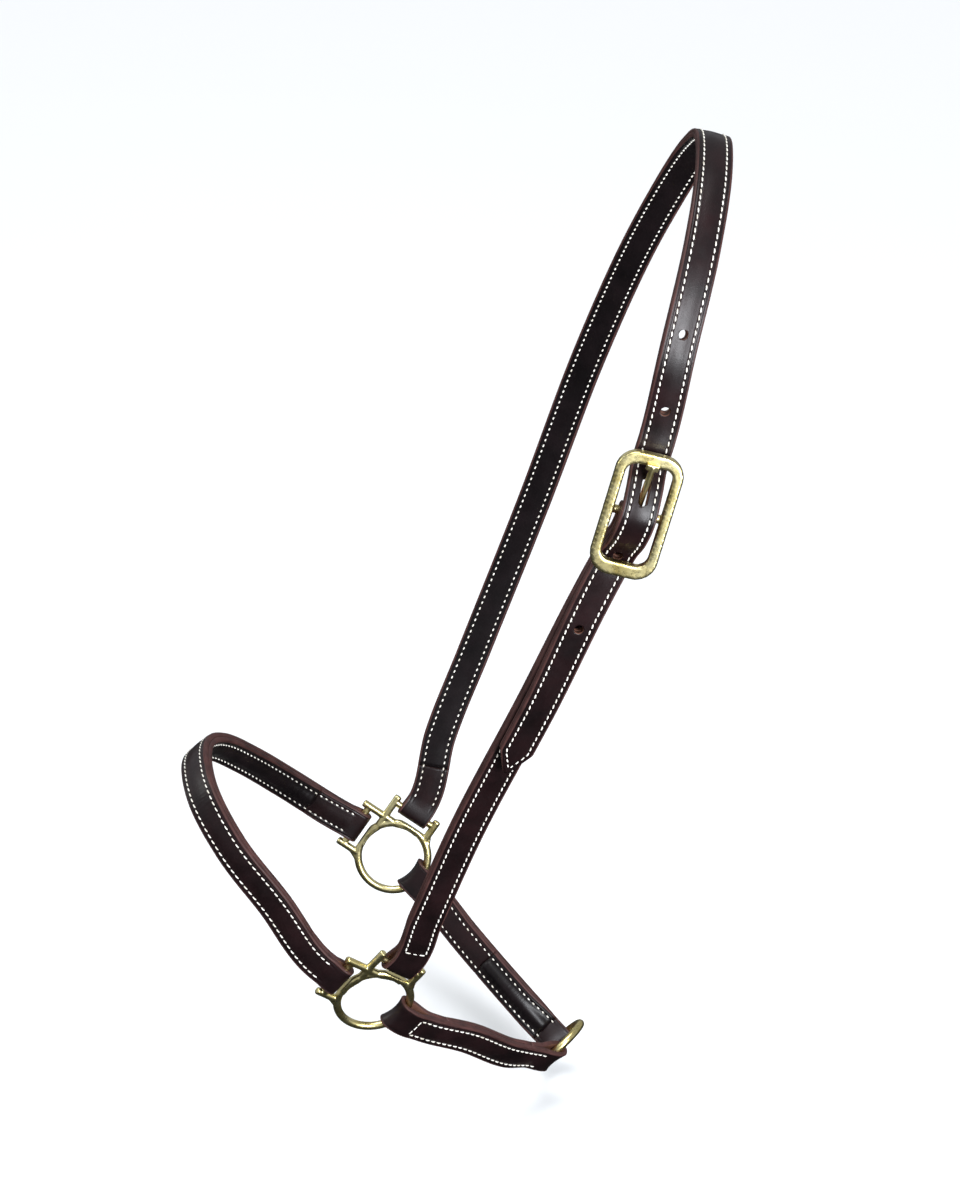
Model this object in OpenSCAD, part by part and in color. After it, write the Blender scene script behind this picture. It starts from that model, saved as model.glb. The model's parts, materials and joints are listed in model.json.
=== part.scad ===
// Slim leather headcollar in its worn shape, near side towards -Y, nose towards -X, poll at the top.
// The origin is on the inner face of the crown strap, where it rests behind the ears.

/* [Leather] */
// Width of every strap
strap_w = 19; // [18:0.5:19.5]
// Thickness of one ply of the noseband, cheekpiece and chin straps
ply_t = 2.7; // [2.5:0.1:2.8]
// Thickness of the filler between those plies
filler_t = 1.6; // [1.2:0.1:1.7]
// Thickness of one ply of the crown strap
crown_ply_t = 2.2; // [2:0.1:2.3]
// Thickness of the filler in the crown strap
crown_filler_t = 0.6; // [0.4:0.1:0.8]
// Distance of each row of stitches from the strap's edge
stitch_inset = 3.5; // [3:0.1:4]
// Thickness of the sewing thread
thread_t = 0.7; // [0.5:0.1:0.9]

/* [Crown holes] */
// Diameter of the punched holes
hole_d = 5; // [4.5:0.1:5.5]
// Distance from one hole to the next
hole_pitch = 43; // [38:1:44]

/* [Cheek rings] */
// Radius of the ring wire's centre line
ring_r = 21; // [20.8:0.1:21.2]
// Radius of the ring wire
wire_r = 2.1; // [1.9:0.1:2.2]
// Distance between the centres of the two cheek rings
ring_span = 150; // [146:1:154]

/* [Chin ring] */
// Radius of the chin ring wire's centre line
chin_r = 17.2; // [17:0.1:17.4]
// Radius of the chin ring wire
chin_wire_r = 2.2; // [2:0.1:2.3]

/* [Buckle] */
// Outer width of the buckle frame
buckle_w = 35; // [34.5:0.5:37]
// Outer length of the buckle frame
buckle_l = 68; // [66:0.5:70]
// Thickness of the buckle frame
buckle_t = 5; // [4.5:0.1:5.2]
// Radius of the bar across the middle
bar_r = 2; // [1.9:0.05:2.1]

/* [Hidden] */

brass = [0.80, 0.66, 0.24];
dark_leather = [0.16, 0.09, 0.08];
black_leather = [0.08, 0.06, 0.06];
edge_leather = [0.36, 0.20, 0.16];
thread_white = [0.92, 0.90, 0.84];

fit = 0.4;             // gap between leather and metal
poll = [178, 0, 497];  // rest point on the crown, measured from midway between the cheek rings
station = 9;           // distance between the cross-sections of a strap
fine_station = 6;      // the same where a strap bends sharply
round_fn = 48;

// ---- vectors ----
function unit(v) = v / norm(v);
function square_to(v, a) = unit(v - (v * a) * a);
function blend(a, b, t) = a + (b - a) * t;
function smooth(t) = let (c = min(1, max(0, t))) c * c * (3 - 2 * c);
function reversed(list) = [for (i = [len(list) - 1 : -1 : 0]) list[i]];
function running(list, i = 0, total = 0, out = []) =
    i == len(list) ? out : running(list, i + 1, total + list[i], concat(out, [total + list[i]]));

// ---- cheek ring frames: side is -1 near, +1 far ----
near = -1;
far = 1;
function ring_tilt(side) = side < 0 ? 11 : 16;  // how far the ring's upper edge leans out
function ring_turn(side) = side < 0 ? 12 : 2;   // how far its front edge leans out
function ring_roll(side) = side < 0 ? -3 : 0;    // how far it is rolled forward in its own plane
head_slot = 56;                                 // direction of the crown slot, up from the rear
function ring_centre(side) = [0, side * ring_span / 2, 0] - poll;
function turned(v, a) = [v.x * cos(a) - v.y * sin(a), v.x * sin(a) + v.y * cos(a), v.z];
function ring_x(side) = turned([1, 0, 0], ring_turn(side));
function ring_y(side) = turned([0, side * sin(ring_tilt(side)), cos(ring_tilt(side))], ring_turn(side));
function ring_out(side) = turned([0, side * cos(ring_tilt(side)), -sin(ring_tilt(side))], ring_turn(side));
function ring_dir(side, angle) =
    cos(angle + ring_roll(side)) * ring_x(side) + sin(angle + ring_roll(side)) * ring_y(side);
function ring_point(side, along_head, along_nose) =
    ring_centre(side) + along_head * ring_dir(side, head_slot) + along_nose * ring_dir(side, head_slot + 90);
module in_ring(side) {
    translate(ring_centre(side)) rotate([90 - side * ring_tilt(side), 0, ring_turn(side)])
        rotate([0, 0, ring_roll(side)]) children();
}

// ---- strap slots of a cheek ring ----
cross_at = 18;       // centre line of the crossed bars
slot_low = -10;      // centre line of each slot's outer arm
slot_bar_at = 29;    // centre line of the bar that the strap folds round
horn_at = 33;        // where the bars end
slot_bar_r = 1.8;
slot_mid = (cross_at + slot_low) / 2;

// ---- buckle frame ----
buckle_at = [143, -119, 338] - poll;
buckle_up = unit([0.26, 0.14, 0.955]);
buckle_side = square_to([0.94, 0.05, -0.33], buckle_up);
buckle_out = cross(buckle_side, buckle_up);
function buckle_point(up, out, aside = 0) =
    buckle_at + up * buckle_up + out * buckle_out + aside * buckle_side;
bar_out = -1.5;
end_bar = 6;
foot_bar = 7;
side_bar = 4.6;
half_window = buckle_l / 2 - end_bar;

// ---- chin ring ----
chin_at = [103.5, 0, -80] - poll;
chin_axis = unit([0.70, -0.30, -0.65]);
chin_up = square_to([0, 0, 1], chin_axis);
chin_far = cross(chin_up, chin_axis);       // points to the far side
function chin_dir(angle) = cos(angle) * chin_far + sin(angle) * chin_up;
function chin_tangent(angle) = cos(angle) * chin_up - sin(angle) * chin_far;
near_wrap = 174;     // where each chin strap is folded round the ring
far_wrap = -42;
wrap_in = 1.4;       // the fold's axis runs inside the ring's centre line, because the ring curves
function chin_wrap(angle) = chin_at + (chin_r - wrap_in) * chin_dir(angle);

// ---- routes: each knot is [point, direction of the strap's width] ----
function knot_dir(K, i) =
    i == 0 ? unit(K[1][0] - K[0][0]) :
    i == len(K) - 1 ? unit(K[i][0] - K[i - 1][0]) :
    let (back = K[i][0] - K[i - 1][0], ahead = K[i + 1][0] - K[i][0])
        unit(unit(back) * norm(ahead) + unit(ahead) * norm(back));
function section(a, b, da, db, t) =
    let (l = norm(b[0] - a[0]),
         p = (2*t*t*t - 3*t*t + 1) * a[0] + (t*t*t - 2*t*t + t) * l * da
             + (3*t*t - 2*t*t*t) * b[0] + (t*t*t - t*t) * l * db,
         along = unit(6 * (t*t - t) * a[0] + (3*t*t - 4*t + 1) * l * da
             + 6 * (t - t*t) * b[0] + (3*t*t - 2*t) * l * db),
         side = square_to(blend(a[1], b[1], smooth(t)), along))
        [p, along, side, cross(side, along)];
// A route is a list of sections [point, forward, sideways, outward]
function route(K, step = station) = [
    for (i = [0 : len(K) - 2])
        let (n = max(1, ceil(norm(K[i + 1][0] - K[i][0]) / step)))
        for (k = [0 : i == len(K) - 2 ? n : n - 1])
            section(K[i], K[i + 1], knot_dir(K, i), knot_dir(K, i + 1), k / n)];
function lengths(R) = running([for (i = [0 : len(R) - 1]) i == 0 ? 0 : norm(R[i][0] - R[i - 1][0])]);
// A short straight lead away from a bar, square to it
function lead(bar, side, towards, l) = [bar + l * square_to(towards - bar, unit(side)), side];

function rel(x, y, z) = [x, y, z] - poll;
nose_bar_near = ring_point(near, slot_mid, slot_bar_at);
nose_bar_far = ring_point(far, slot_mid, slot_bar_at);
head_bar_near = ring_point(near, slot_bar_at, slot_mid);
head_bar_far = ring_point(far, slot_bar_at, slot_mid);

noseband_route = route([
    [nose_bar_near, ring_dir(near, head_slot)],
    lead(nose_bar_near, ring_dir(near, head_slot), rel(-55, -79, 67), 12),
    [rel(-55, -79, 67), [0.60, 0, 0.80]],
    [rel(-79, -70, 97), [0.66, -0.05, 0.74]],
    [rel(-95, -52, 117), [0.72, 0, 0.70]],
    [rel(-102, -28, 123), [0.73, 0, 0.69]],
    [rel(-103, 0, 118), [0.73, 0, 0.69]],
    [rel(-97, 24, 105), [0.73, 0, 0.69]],
    [rel(-83, 48, 82), [0.70, 0, 0.72]],
    [rel(-61, 70, 52), [0.66, 0.05, 0.75]],
    lead(nose_bar_far, ring_dir(far, head_slot), rel(-61, 70, 52), 12),
    [nose_bar_far, ring_dir(far, head_slot)]]);

cheek_t = 2 * ply_t + filler_t;
crown_t = 2 * crown_ply_t + crown_filler_t;
behind_frame = 3.1;                                         // gap between the crown and the frame's end bars
crown_under = -buckle_t / 2 - behind_frame - crown_t / 2;   // crown behind the end bars
lap = cheek_t / 2 + thread_t + 1.3 + crown_t / 2;            // crown lying on the cheekpiece's stitches
cheek_under = crown_under - lap;
hump = bar_out + bar_r + fit + ply_t + fit + crown_t / 2;   // crown over the middle bar
crown_rise = 1.5;                                           // crown half way up to the hump

cheekpiece_route = route([
    [head_bar_near, ring_dir(near, head_slot - 90)],
    lead(head_bar_near, ring_dir(near, head_slot - 90), rel(31, -86, 64), 7),
    [rel(31, -86, 64), [0.80, 0.27, -0.53]],
    [rel(53, -93, 125), [0.84, 0.26, -0.46]],
    [rel(91, -108, 218), [0.88, 0.24, -0.40]],
    [buckle_point(-40, cheek_under, -5), buckle_side],
    [buckle_point(-25, cheek_under + 0.6, -2), buckle_side],
    [buckle_point(-11, bar_out - 5.5), buckle_side],
    [buckle_point(0, bar_out), buckle_side]]);

// The crown's tail lies on the cheekpiece between these two distances below the buckle's middle bar
tail_from = 50;
tail_end = 178;
cheek_lengths = lengths(cheekpiece_route);
cheek_total = cheek_lengths[len(cheek_lengths) - 1];
tail_route = [for (i = [len(cheekpiece_route) - 1 : -1 : 0])
    if (cheek_total - cheek_lengths[i] >= tail_from && cheek_total - cheek_lengths[i] <= tail_end)
        let (s = cheekpiece_route[i]) [s[0] + lap * s[3], -s[1], -s[2], s[3]]];
crown_route = concat(route([
    [head_bar_far, ring_dir(far, head_slot + 90)],
    lead(head_bar_far, ring_dir(far, head_slot + 90), rel(28, 94, 75), 7),
    [rel(28, 94, 75), [-0.90, 0.10, 0.42]],
    [rel(47, 104, 126), [-0.90, 0.20, 0.38]],
    [rel(81, 112, 221), [-0.90, 0.20, 0.38]],
    [rel(114, 99, 327), [-0.90, 0.20, 0.38]],
    [rel(148, 57, 428), [-0.90, 0.20, 0.36]],
    [rel(171, 19, 485), [-0.93, 0.14, 0.28]],
    [rel(177, -6, 500), [-0.96, 0, 0.22]],
    [rel(178, -38, 496), [-0.96, -0.02, 0.22]],
    [rel(173, -78, 471), [-0.94, -0.14, 0.30]],
    [rel(162, -105, 425), [-0.92, -0.20, 0.30]],
    [buckle_point(40, crown_under), -buckle_side],
    [buckle_point(25, crown_under + 0.6), -buckle_side],
    [buckle_point(13, crown_rise), -buckle_side],
    [buckle_point(0, hump), -buckle_side],
    [buckle_point(-13, crown_rise, -0.5), -buckle_side],
    [buckle_point(-25, crown_under + 0.6, -2), -buckle_side],
    [buckle_point(-40, crown_under, -5), -buckle_side],
    [tail_route[0][0], -buckle_side]], fine_station),
    [for (i = [1 : len(tail_route) - 1]) tail_route[i]]);

// Where each chin strap is folded round the lower arc of its cheek ring
near_arc = -38;
far_arc = -43;
arc_in = 2.2;
function arc_start(side, angle) = ring_centre(side) + (ring_r - arc_in) * ring_dir(side, angle);

near_chin_route = route([
    [arc_start(near, near_arc), -ring_dir(near, near_arc + 90)],
    lead(arc_start(near, near_arc), -ring_dir(near, near_arc + 90), rel(32, -66, -23), 10),
    [rel(54, -51, -42), [-0.57, 0, -0.81]],
    [rel(76, -35, -63), [-0.57, 0, -0.81]],
    lead(chin_wrap(near_wrap), chin_tangent(near_wrap), rel(76, -35, -63), 12),
    [chin_wrap(near_wrap), chin_tangent(near_wrap)]]);
far_chin_route = route([
    [arc_start(far, far_arc), ring_dir(far, far_arc + 90)],
    lead(arc_start(far, far_arc), ring_dir(far, far_arc + 90), rel(44, 48, -37), 10),
    [rel(44, 48, -37), [0.60, 0.10, 0.80]],
    [rel(79, 22, -65), [0.60, 0.10, 0.80]],
    lead(chin_wrap(far_wrap), chin_tangent(far_wrap), rel(79, 22, -65), 8),
    [chin_wrap(far_wrap), chin_tangent(far_wrap)]], fine_station);

// ---- sweeping a flat bar of leather along a line of stations [point, sideways, half width] ----
module sweep(S, t) {
    n = len(S);
    along = [for (i = [0 : n - 1]) unit(S[min(i + 1, n - 1)][0] - S[max(i - 1, 0)][0])];
    side = [for (i = [0 : n - 1]) square_to(S[i][1], along[i])];
    out = [for (i = [0 : n - 1]) cross(side[i], along[i])];
    corners = [[1, 1], [1, -1], [-1, -1], [-1, 1]];
    points = [for (i = [0 : n - 1]) for (c = corners)
        S[i][0] + c[0] * S[i][2] * side[i] + c[1] * t / 2 * out[i]];
    walls = [for (i = [0 : n - 2]) for (k = [0 : 3]) let (j = 4 * i, m = (k + 1) % 4)
        each [[j + k, j + 4 + m, j + m], [j + k, j + 4 + k, j + 4 + m]]];
    last = 4 * n - 4;
    ends = [[0, 1, 2], [0, 2, 3], [last + 2, last + 1, last], [last + 3, last + 2, last]];
    polyhedron(points, concat(walls, ends), convexity = 8);
}

// ---- folds ----
// An end is [fold radius, length held open, length over which it closes, turn-back length, start of the stitches]
function gap_at(end, s, g) = g + (end[0] - g) * (1 - smooth((s - end[1]) / end[2]));
function fold_arc(s, end, way) = [for (a = [15 : 15 : 165])
    [s[0] + end[0] * (cos(a) * s[3] - way * sin(a) * s[1]), s[2], strap_w / 2]];
function ply_line(R, g, a, b) =
    let (l = lengths(R), total = l[len(l) - 1])
    [for (i = [0 : len(R) - 1])
        let (d = l[i], e = total - l[i],
             open_a = is_undef(a) ? g : gap_at(a, d, g),
             open_b = is_undef(b) ? g : gap_at(b, e, g))
        [max(open_a, open_b), d, e]];
// Outer ply: under-side of the first fold, the fold, the outer face, the other fold, its under-side
function outer_stations(R, g, a, b, taper = 0) =
    let (line = ply_line(R, g, a, b), last = len(R) - 1)
    concat(
        is_undef(a) ? [] : [for (i = [last : -1 : 0]) if (line[i][1] <= a[3])
            [R[i][0] - line[i][0] * R[i][3], R[i][2], strap_w / 2]],
        is_undef(a) ? [] : reversed(fold_arc(R[0], a, 1)),
        [for (i = [0 : last]) [R[i][0] + line[i][0] * R[i][3], R[i][2], half_width(line[i][2], taper)]],
        is_undef(b) ? [] : fold_arc(R[last], b, -1),
        is_undef(b) ? [] : [for (i = [last : -1 : 0]) if (line[i][2] <= b[3])
            [R[i][0] - line[i][0] * R[i][3], R[i][2], strap_w / 2]]);
// The strap narrows to a blunt point over the taper length
function half_width(from_end, taper) =
    taper == 0 ? strap_w / 2 : strap_w / 2 * min(1, 0.2 + 0.8 * from_end / taper);
// Lining and filler run between the two turn-backs
function inner_stations(R, g, a, b, from, to, half, taper = 0) =
    let (line = ply_line(R, g, a, b))
    [for (i = [0 : len(R) - 1]) if (line[i][1] >= from && line[i][2] >= to)
        [R[i][0] - (half == strap_w / 2 ? line[i][0] : 0) * R[i][3], R[i][2],
         min(half, half_width(line[i][2], taper))]];
// Two rows of stitches, as far above the outer ply's middle as rise
module thread_rows(R, g, rise, a, b, from, to, taper = 0) {
    line = ply_line(R, g, a, b);
    for (way = [-1, 1])
        sweep([for (i = [0 : len(R) - 1]) if (line[i][1] >= from && line[i][2] >= to)
            [R[i][0] + (line[i][0] + rise) * R[i][3]
                + way * (half_width(line[i][2], taper) - stitch_inset) * R[i][2], R[i][2], thread_t / 2]],
            thread_t);
}

// ---- strap ends ----
bar_curve = slot_bar_r + fit + ply_t / 2;
near_nose_fold = [bar_curve, 0, 9, 34, 9];
far_nose_fold = [bar_curve, 0, 9, 34, 6];
cheek_fold = [bar_curve, 1, 18, 34, 17];
buckle_fold = [bar_r + fit + ply_t / 2, 1, 20, 34, 18];
crown_fold = [slot_bar_r + fit + crown_ply_t / 2, 0, 12, 34, 10];
cheek_wrap = [wire_r + 1.6 + ply_t / 2, 5, 16, 30, 12];
far_cheek_wrap = [wire_r + 1.6 + ply_t / 2, 5, 16, 68, 12];
far_chin_end = [chin_wire_r + 2.1 + ply_t / 2, 4, 14, 12, 15];
chin_wrap_end = [chin_wire_r + 2.1 + ply_t / 2, 4, 14, 24, 15];
butt_gap = 0.8;       // gap between a turn-back's end and the lining
filled = 0.4;         // share of the gap between the plies that the filler takes up
thread_gap = 0.45;    // room under the stitches
core_from = 30;       // filler starts this far from the fold
tip_seam = 6;         // stitches stop this far from the crown's tip
ply_gap = (ply_t + filler_t) / 2;
crown_gap = (crown_ply_t + crown_filler_t) / 2;
core_half = strap_w / 2 - stitch_inset - 2 * thread_t;
thread_rise = (ply_t + thread_t) / 2 + thread_gap;
crown_thread_rise = (crown_ply_t + thread_t) / 2 + thread_gap;

module strap_outer(R, g, t, a, b) color(dark_leather) sweep(outer_stations(R, g, a, b), t);
module strap_lining(R, g, t, a, b) color(black_leather)
    sweep(inner_stations(R, g, a, b, a[3] + butt_gap, b[3] + butt_gap, strap_w / 2), t);
module strap_filler(R, t, a, b) color(edge_leather)
    sweep(inner_stations(R, t, a, b, core_from, core_from, core_half), filled * t);
module strap_thread(R, a, b) color(thread_white)
    thread_rows(R, ply_gap, thread_rise, a, b, a[4], b[4]);

module noseband_outer() strap_outer(noseband_route, ply_gap, ply_t, near_nose_fold, far_nose_fold);
module noseband_filler() strap_filler(noseband_route, filler_t, near_nose_fold, far_nose_fold);
module noseband_lining() strap_lining(noseband_route, ply_gap, ply_t, near_nose_fold, far_nose_fold);
module noseband_thread() strap_thread(noseband_route, near_nose_fold, far_nose_fold);

// Opening in the cheekpiece's fold for the eye of the tongue
module tongue_slot() {
    translate(buckle_point(0, bar_out)) in_buckle_axes()
        cube([eye_w + 1.8, 4 * (bar_r + eye_wall) + 2, 14], center = true);
}
module cheekpiece_outer() difference() {
    strap_outer(cheekpiece_route, ply_gap, ply_t, cheek_fold, buckle_fold);
    tongue_slot();
}
module cheekpiece_filler() strap_filler(cheekpiece_route, filler_t, cheek_fold, buckle_fold);
module cheekpiece_lining() strap_lining(cheekpiece_route, ply_gap, ply_t, cheek_fold, buckle_fold);
module cheekpiece_thread() strap_thread(cheekpiece_route, cheek_fold, buckle_fold);

// ---- crown strap, punched and pointed ----
tip_taper = 15;
tail_slack = 4;       // the tail's holes are this much further apart
hole_in_use = 17;     // height of the hole in use above the buckle's middle bar
crown_lengths = lengths(crown_route);
function nearest(l, s, i = 0) = i == len(l) - 1 || l[i + 1] >= s ? i : nearest(l, s, i + 1);
function crown_at(s) = let (i = nearest(crown_lengths, s),
    t = (s - crown_lengths[i]) / (crown_lengths[i + 1] - crown_lengths[i]),
    a = crown_route[i], b = crown_route[i + 1]) [blend(a[0], b[0], t), unit(blend(a[3], b[3], t))];
function closest(R, p, i = 1, best = 0) = i == len(R) ? best :
    closest(R, p, i + 1, norm(R[i][0] - p) < norm(R[best][0] - p) ? i : best);
hole_s = crown_lengths[closest(crown_route, buckle_point(hole_in_use, 0))];
module drill(at, out) {
    translate(at) rotate([0, acos(out.z), atan2(out.y, out.x)])
        cylinder(r = hole_d / 2, h = 16, center = true, $fn = round_fn);
}
module crown_holes() {
    for (k = [-2, -1, 1, 2])
        let (pitch = k > 0 ? hole_pitch + tail_slack : hole_pitch, h = crown_at(hole_s + k * pitch))
            drill(h[0], h[1]);
}
// The hole in use, drawn out along the strap by the tongue that goes through it
room_from = 4;
room_to = 23;
module tongue_room() {
    half = tongue_r + 0.5;
    translate(buckle_at) in_buckle_axes() translate([-half, room_from, -8])
        cube([2 * half, room_to - room_from, 16]);
}
module crown_punched() difference() {
    children();
    crown_holes();
    tongue_room();
}
module crown_outer() color(dark_leather) crown_punched()
    sweep(outer_stations(crown_route, crown_gap, crown_fold, undef, tip_taper), crown_ply_t);
module crown_lining() color(black_leather) crown_punched()
    sweep(inner_stations(crown_route, crown_gap, crown_fold, undef, crown_fold[3] + butt_gap, 0, strap_w / 2, tip_taper),
        crown_ply_t);
module crown_filler() color(edge_leather) crown_punched()
    sweep(inner_stations(crown_route, crown_filler_t, crown_fold, undef, core_from, tip_taper, core_half),
        filled * crown_filler_t);
module crown_thread() color(thread_white)
    thread_rows(crown_route, crown_gap, crown_thread_rise, crown_fold, undef, crown_fold[4], tip_seam, tip_taper);

module near_chin_outer() strap_outer(near_chin_route, ply_gap, ply_t, cheek_wrap, chin_wrap_end);
module near_chin_filler() strap_filler(near_chin_route, filler_t, cheek_wrap, chin_wrap_end);
module near_chin_lining() strap_lining(near_chin_route, ply_gap, ply_t, cheek_wrap, chin_wrap_end);
module near_chin_thread() strap_thread(near_chin_route, cheek_wrap, chin_wrap_end);
module far_chin_outer() strap_outer(far_chin_route, ply_gap, ply_t, far_cheek_wrap, far_chin_end);
module far_chin_filler() strap_filler(far_chin_route, filler_t, far_cheek_wrap, far_chin_end);
module far_chin_lining() strap_lining(far_chin_route, ply_gap, ply_t, far_cheek_wrap, far_chin_end);
module far_chin_thread() strap_thread(far_chin_route, far_cheek_wrap, far_chin_end);

// ---- metal ----
module rod(from, to, r) {
    v = to - from;
    translate(from) rotate([0, acos(v.z / norm(v)), atan2(v.y, v.x)])
        cylinder(r = r, h = norm(v), $fn = round_fn);
}
arm_r = 2;
cross_from = slot_low + 6;    // where the crossed bars start
sunk = 0.2;                  // how far joined shapes run into each other
chord_at = ring_r + 0.6;     // the ring is cut back to this line where a strap's fold passes it
gusset_t = 2.8;
gusset_from = 12;
flare_to = 27;               // how far out along the arm the flare reaches
flare_end = 54;              // where on the ring it ends, down from the slot
module cheek_ring(side) color(brass) in_ring(side) rotate([0, 0, head_slot]) difference() {
    union() {
        rotate_extrude($fn = 96) translate([ring_r, 0]) circle(r = wire_r, $fn = 32);
        for (flip = [0, 1]) mirror([flip, -flip, 0]) {
            rod([cross_from, cross_at, 0], [horn_at, cross_at, 0], arm_r);
            rod([cross_at, slot_low, 0], [horn_at, slot_low, 0], arm_r);
            rod([slot_bar_at, slot_low, 0], [slot_bar_at, cross_at, 0], slot_bar_r);
        }
        // Web between the crossed bars and the ring
        linear_extrude(gusset_t, center = true)
            polygon([[gusset_from, cross_at - 1], [cross_at, cross_at], [cross_at - 1, gusset_from]]);
        // Flare where each outer arm grows out of the ring
        for (flip = [0, 1]) mirror([flip, -flip, 0])
            linear_extrude(gusset_t, center = true)
                polygon([[cross_at, slot_low], [flare_to, slot_low], ring_r * [cos(flare_end), -sin(flare_end)]]);
    }
    cylinder(r = ring_r - wire_r - sunk, h = 10, center = true, $fn = 96);
    for (flip = [0, 1]) mirror([flip, -flip, 0])
        translate([chord_at, slot_low + arm_r - sunk, -5])
            cube([slot_bar_at - slot_bar_r - chord_at - sunk, cross_at - slot_low - 2 * (arm_r - sunk), 10]);
}
module near_cheek_ring() cheek_ring(near);
module far_cheek_ring() cheek_ring(far);

module chin_ring() color(brass) translate(chin_at)
    rotate([0, acos(chin_axis.z), atan2(chin_axis.y, chin_axis.x)])
        rotate_extrude($fn = 96) translate([chin_r, 0]) circle(r = chin_wire_r, $fn = 32);

// Turns a shape drawn with x across, y up the strap and z outwards into the buckle's place
module in_buckle_axes() {
    multmatrix([for (i = [0 : 2]) [buckle_side[i], buckle_up[i], buckle_out[i], 0]]) children();
}
function corner(cx, cy, r, from) =
    [for (a = [0 : 11.25 : 90]) [cx + r * cos(from + a), cy + r * sin(from + a)]];
function rounded(x0, x1, y0, y1, r) = concat(
    corner(x1 - r, y1 - r, r, 0), corner(x0 + r, y1 - r, r, 90),
    corner(x0 + r, y0 + r, r, 180), corner(x1 - r, y0 + r, r, 270));
module buckle_frame() color(brass) translate(buckle_at) in_buckle_axes() {
    half_w = buckle_w / 2;
    half_l = buckle_l / 2;
    linear_extrude(buckle_t, center = true) difference() {
        polygon(rounded(-half_w, half_w, -half_l, half_l, 11));
        polygon(rounded(side_bar - half_w, half_w - side_bar, foot_bar - half_l, half_l - end_bar, 6));
    }
    translate([0, 0, bar_out]) rotate([0, 90, 0])
        cylinder(r = bar_r, h = buckle_w - side_bar, center = true, $fn = round_fn);
}

tongue_r = 1.5;
eye_wall = 1.5;              // metal round the bar in the tongue's eye
eye_w = 4.6;
eye_clear = 0.08;
tip_size = [6.4, 3.2, 2.4];  // flattened tip, across, along and through
tip_reach = half_window + 1.6;
tip_out = buckle_t / 2 + 0.6 + tip_size.z / 2;
tongue_rise = atan2(tip_out - bar_out, tip_reach);
tongue_len = norm([tip_out - bar_out, tip_reach]);
module buckle_tongue() color(brass) translate(buckle_point(0, bar_out)) in_buckle_axes() {
    difference() {
        union() {
            rotate([0, 90, 0]) cylinder(r = bar_r + eye_wall, h = eye_w, center = true, $fn = round_fn);
            rotate([tongue_rise, 0, 0]) rotate([-90, 0, 0]) translate([0, 0, bar_r])
                cylinder(r = tongue_r, h = tongue_len - bar_r - 1, $fn = 32);
        }
        rotate([0, 90, 0]) cylinder(r = bar_r + eye_clear, h = 8, center = true, $fn = round_fn);
    }
    rotate([tongue_rise, 0, 0]) translate([-tip_size.x / 2, tongue_len - tip_size.y, -tip_size.z / 2])
        cube(tip_size);
}

near_cheek_ring();
far_cheek_ring();
chin_ring();
buckle_frame();
buckle_tongue();
noseband_outer();
noseband_filler();
noseband_lining();
noseband_thread();
cheekpiece_outer();
cheekpiece_filler();
cheekpiece_lining();
cheekpiece_thread();
crown_outer();
crown_filler();
crown_lining();
crown_thread();
near_chin_outer();
near_chin_filler();
near_chin_lining();
near_chin_thread();
far_chin_outer();
far_chin_filler();
far_chin_lining();
far_chin_thread();
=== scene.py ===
"""Looks of the leather headcollar: detailed straps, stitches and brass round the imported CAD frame.

Strap shapes are worked out in millimetres from midway between the two cheek rings, as the design has
them, and become metres in the row frame when a mesh is made.
"""
import json
import math

import bpy
import numpy as np
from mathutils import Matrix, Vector

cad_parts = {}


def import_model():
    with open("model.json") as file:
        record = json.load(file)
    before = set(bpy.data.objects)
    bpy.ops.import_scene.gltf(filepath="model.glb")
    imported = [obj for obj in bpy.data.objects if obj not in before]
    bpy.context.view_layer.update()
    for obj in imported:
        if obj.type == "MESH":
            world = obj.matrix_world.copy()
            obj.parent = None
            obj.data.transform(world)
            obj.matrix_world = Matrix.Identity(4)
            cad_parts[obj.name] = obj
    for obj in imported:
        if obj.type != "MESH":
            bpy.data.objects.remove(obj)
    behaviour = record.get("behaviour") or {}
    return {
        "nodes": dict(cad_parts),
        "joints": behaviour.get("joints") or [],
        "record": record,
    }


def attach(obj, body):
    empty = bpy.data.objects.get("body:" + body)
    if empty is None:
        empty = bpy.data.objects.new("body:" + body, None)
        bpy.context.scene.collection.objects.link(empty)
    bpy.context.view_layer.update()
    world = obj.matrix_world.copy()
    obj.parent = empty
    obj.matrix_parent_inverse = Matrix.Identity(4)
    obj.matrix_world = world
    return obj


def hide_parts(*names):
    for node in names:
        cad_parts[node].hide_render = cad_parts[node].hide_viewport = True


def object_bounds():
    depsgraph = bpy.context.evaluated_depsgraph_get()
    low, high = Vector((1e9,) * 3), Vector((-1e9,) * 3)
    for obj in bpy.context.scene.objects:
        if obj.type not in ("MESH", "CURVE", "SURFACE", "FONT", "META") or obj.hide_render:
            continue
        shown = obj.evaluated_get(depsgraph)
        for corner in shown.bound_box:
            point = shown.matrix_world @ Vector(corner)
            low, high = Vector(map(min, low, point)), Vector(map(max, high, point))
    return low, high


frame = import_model()
cad_low, cad_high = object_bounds()
MM = 0.001

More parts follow.
